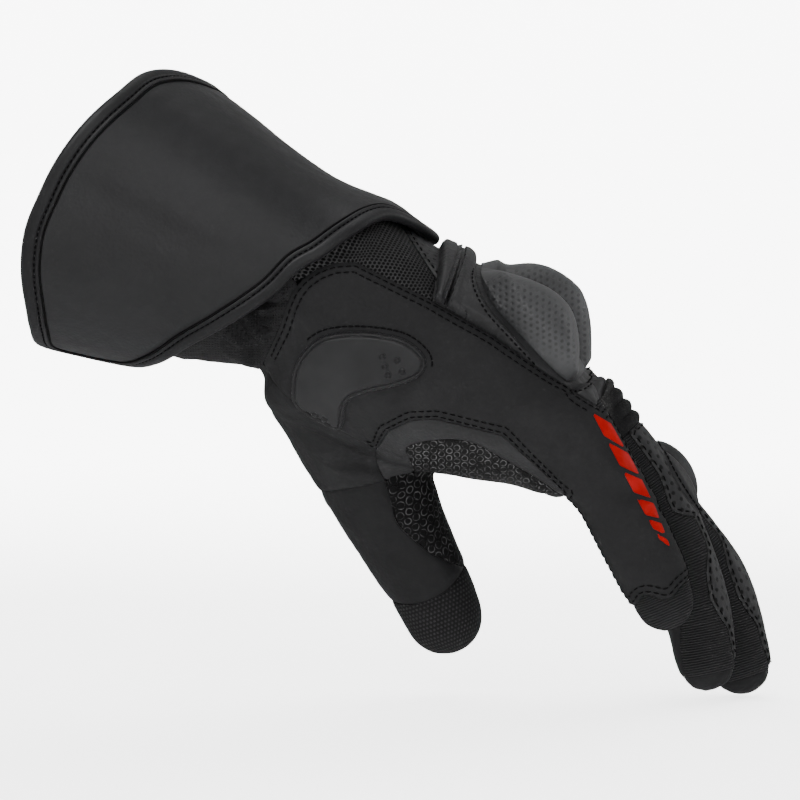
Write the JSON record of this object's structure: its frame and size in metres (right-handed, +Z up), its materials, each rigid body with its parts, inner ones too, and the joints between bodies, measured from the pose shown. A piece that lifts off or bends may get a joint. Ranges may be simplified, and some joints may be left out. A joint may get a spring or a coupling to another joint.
{
  "type": "long-cuff leather motorcycle glove",
  "caption": "Right-hand long-cuff leather motorcycle glove with a wrap-over cuff flap, moulded knuckle guard, palm slider, wrist strap and armoured fingers, in its worn shape.",
  "frame": {"origin": "middle of the wrist inside the glove, where the glove sits on its wearer", "axes": "+X from the cuff to the fingers, +Z up in the pose of the picture with the back of the hand up, -Y to the little-finger side"},
  "size_m": [0.2441, 0.1012, 0.2077],
  "materials": {
    "cuff_leather": "satin",
    "suede": "matte",
    "smooth_leather": "satin",
    "stretch_cloth": "matte",
    "mesh_cloth": "matte",
    "moulded_guard": "semi-gloss",
    "moulded_pad": "matte"
  },
  "bodies": {
    "root": {"thumb_tip": "stretch_cloth", "thumb_gusset": "stretch_cloth", "thumb_back": "smooth_leather", "little_tip": "stretch_cloth", "side_panel": "suede", "little_inner": "stretch_cloth", "ring_back": "smooth_leather", "ring_side_ulnar": "stretch_cloth", "ring_side_radial": "stretch_cloth", "ring_front": "smooth_leather", "middle_back": "smooth_leather", "middle_side_ulnar": "stretch_cloth", "middle_side_radial": "stretch_cloth", "middle_front": "smooth_leather", "index_back": "smooth_leather", "index_side_ulnar": "stretch_cloth", "index_side_radial": "stretch_cloth", "index_front": "smooth_leather", "inner_cuff": "stretch_cloth", "wrist_mesh": "mesh_cloth", "wrist_strip": "smooth_leather", "back_panel": "smooth_leather", "radial_panel": "suede", "grip_insert": "moulded_pad", "palm_inset": "smooth_leather", "palm_main": "suede", "knuckle_cloth": "mesh_cloth", "palm_slider": "moulded_pad", "knuckle_guard": "moulded_guard", "strap_roll_1": "smooth_leather", "strap_roll_2": "smooth_leather", "ring_ridge": "smooth_leather", "middle_ridge": "smooth_leather", "index_ridge": "smooth_leather", "cuff_flap": "cuff_leather", "cuff_binding": "cuff_leather"}
  },
  "joints": []
}
